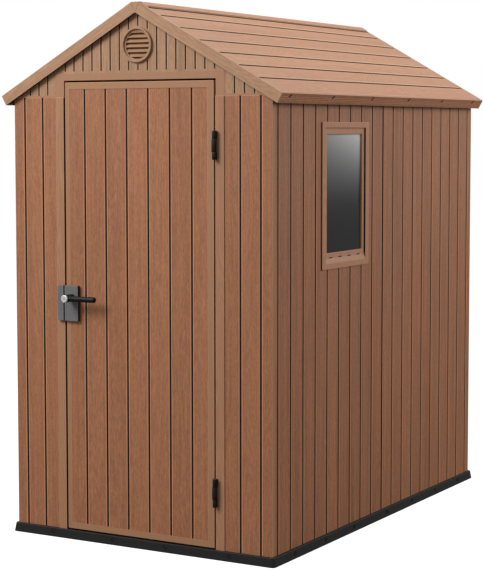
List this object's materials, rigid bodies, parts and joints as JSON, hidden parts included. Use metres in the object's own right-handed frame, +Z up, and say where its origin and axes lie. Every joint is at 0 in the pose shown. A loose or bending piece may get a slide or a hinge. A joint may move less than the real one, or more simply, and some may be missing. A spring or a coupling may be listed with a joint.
{
  "type": "resin garden shed",
  "caption": "Small resin garden shed with a gable roof, board-pattern walls, a hinged door with a lever lock, a side window and round louvre vents in the gables.",
  "frame": {"origin": "on the ground under the middle of the floor, halfway between the outer faces of the walls", "axes": "+X to the right seen from the front, +Y from the door towards the back wall, +Z up"},
  "size_m": [1.258, 1.9313, 2.0727],
  "materials": {
    "wall_board": "wood-grain embossed resin boards, brown",
    "gable_board": "wood-grain embossed resin, light brown",
    "trim": "fine-grained resin trim, tan",
    "roof": "lightly grained resin roof boards, pale brown",
    "floor": "textured black resin",
    "black_part": "smooth black resin",
    "plate": "grey painted lock plate",
    "steel": "zinc-plated steel pin",
    "bright_cap": "bright key cylinder face",
    "pane": "dark glossy window pane"
  },
  "bodies": {
    "shed": {"floor_front_left": "floor", "floor_front_right": "floor", "floor_back_left": "floor", "floor_back_right": "floor", "front_wall_left": "wall_board", "front_wall_right": "wall_board", "door_post_left": "trim", "door_post_right": "trim", "right_wall_front": "wall_board", "right_wall_back": "wall_board", "left_wall_front": "wall_board", "left_wall_back": "wall_board", "back_wall_left": "wall_board", "back_wall_right": "wall_board", "front_gable": "gable_board", "back_gable": "gable_board", "front_vent": "gable_board", "back_vent": "gable_board", "window_frame": "trim", "window_sash": "trim", "window_pane": "pane", "roof_left": "roof", "roof_right": "roof", "ridge_cap": "roof", "ridge_end_front": "trim", "ridge_end_back": "trim", "barge_front_left": "trim", "barge_front_right": "trim", "barge_back_left": "trim", "barge_back_right": "trim", "eave_left": "roof", "eave_right": "roof", "hinge_low_jamb": "black_part", "hinge_low_pin": "steel", "hinge_high_jamb": "black_part", "hinge_high_pin": "steel", "lock_plate_jamb": "plate"},
    "door": {"door_leaf": "wall_board", "hinge_low_door": "black_part", "hinge_high_door": "black_part", "lock_plate_door": "plate"},
    "lever": {"lever": "black_part", "lever_cap": "bright_cap"}
  },
  "joints": [
    {"name": "door_hinge", "type": "hinge", "parent": "shed", "child": "door", "pos_m": [0.344, -0.936, 0], "axis": [0, 0, 1], "range_deg": [0, 170]},
    {"name": "lever_turn", "type": "hinge", "parent": "door", "child": "lever", "pos_m": [-0.296, -0.938, 0.949], "axis": [0, 1, 0], "range_deg": [0, 90]}
  ]
}
